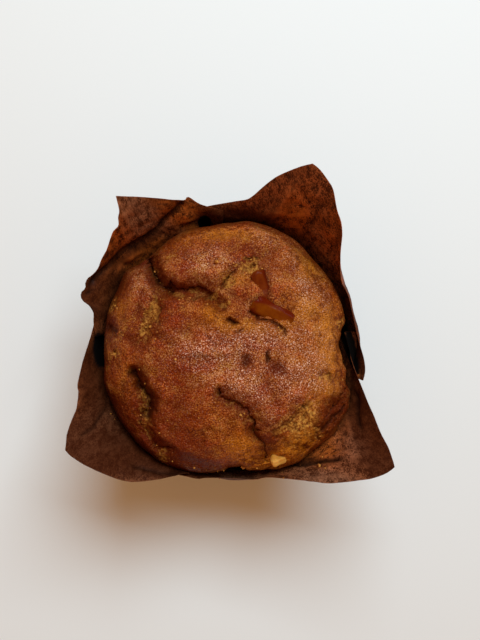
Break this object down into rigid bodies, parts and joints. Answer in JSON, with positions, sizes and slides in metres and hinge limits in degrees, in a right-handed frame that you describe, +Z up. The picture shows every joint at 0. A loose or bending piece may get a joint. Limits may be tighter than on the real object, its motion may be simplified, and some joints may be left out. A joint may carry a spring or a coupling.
{
  "type": "muffin in a paper tulip case",
  "caption": "Domed fruit muffin with a split brown crust, standing in the folded dark brown paper tulip case it was baked in.",
  "frame": {"origin": "centre of the case's base, on the face it rests on", "axes": "+Z up through the crown; +X and +Y lie in the base, with the petals standing near the four diagonals"},
  "size_m": [0.0971, 0.0969, 0.0746],
  "materials": {
    "crust": "matte baked crust",
    "case_paper": "satin greaseproof",
    "fruit": "moist cooked fruit"
  },
  "bodies": {
    "root": {"paper_case": "case_paper", "muffin": "crust", "fruit_piece_amber": "fruit", "fruit_piece_pale": "fruit", "fruit_piece_red": "fruit"}
  },
  "joints": []
}
